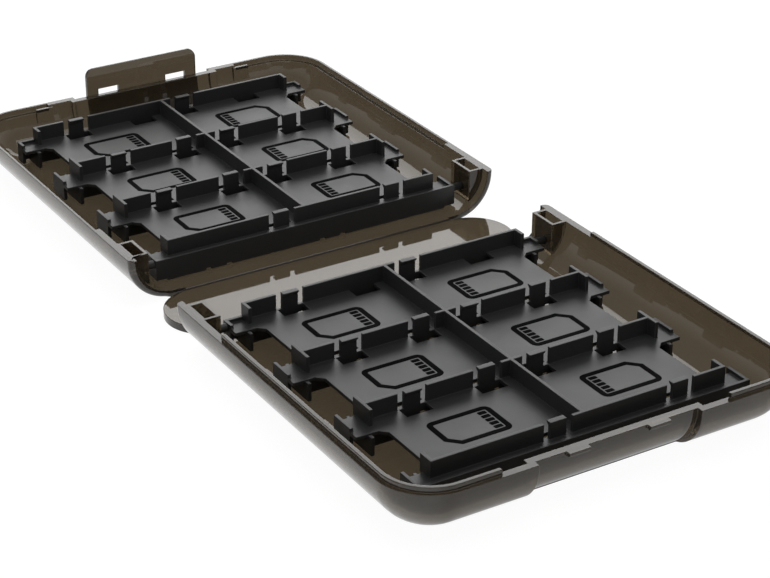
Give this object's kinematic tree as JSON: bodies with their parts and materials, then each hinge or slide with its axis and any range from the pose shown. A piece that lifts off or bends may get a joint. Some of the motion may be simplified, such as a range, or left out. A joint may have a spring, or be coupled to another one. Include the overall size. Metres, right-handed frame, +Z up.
{
  "type": "game card storage case",
  "caption": "Flat folding case of smoked plastic, open, with living hinges, a latch flap and two double-sided black card trays that turn up on side pins.",
  "frame": {"origin": "middle of the spine's underside", "axes": "+X along the spine, +Y from the base shell towards the lid shell, +Z up; the case lies open"},
  "size_m": [0.0934, 0.2026, 0.0175],
  "materials": {
    "smoked_case": "gloss",
    "black_tray": "satin"
  },
  "bodies": {
    "base": {"base_shell": "smoked_case"},
    "spine": {"spine": "smoked_case", "base_hinge_web": "smoked_case", "lid_hinge_web": "smoked_case"},
    "lid": {"lid_shell": "smoked_case"},
    "latch": {"latch_flap": "smoked_case", "latch_hinge_web": "smoked_case"},
    "base_tray": {"base_tray": "black_tray"},
    "lid_tray": {"lid_tray": "black_tray"}
  },
  "joints": [
    {"name": "spine_hinge", "type": "hinge", "parent": "base", "child": "spine", "pos_m": [0, -0.0095, 0.00145], "axis": [-1, 0, 0], "range_deg": [-90, 0], "deforming": ["base_hinge_web"]},
    {"name": "lid_hinge", "type": "hinge", "parent": "spine", "child": "lid", "pos_m": [0, 0.0095, 0.00145], "axis": [-1, 0, 0], "range_deg": [-90, 0], "deforming": ["lid_hinge_web"]},
    {"name": "base_tray_hinge", "type": "hinge", "parent": "base", "child": "base_tray", "pos_m": [0, -0.0176, 0.00615], "axis": [-1, 0, 0], "range_deg": [0, 95]},
    {"name": "lid_tray_hinge", "type": "hinge", "parent": "lid", "child": "lid_tray", "pos_m": [0, 0.0161, 0.00615], "axis": [1, 0, 0], "range_deg": [0, 95]},
    {"name": "latch_hinge", "type": "hinge", "parent": "lid", "child": "latch", "pos_m": [0, 0.0945, 0.00085], "axis": [-1, 0, 0], "range_deg": [0, 90], "deforming": ["latch_hinge_web"]}
  ]
}
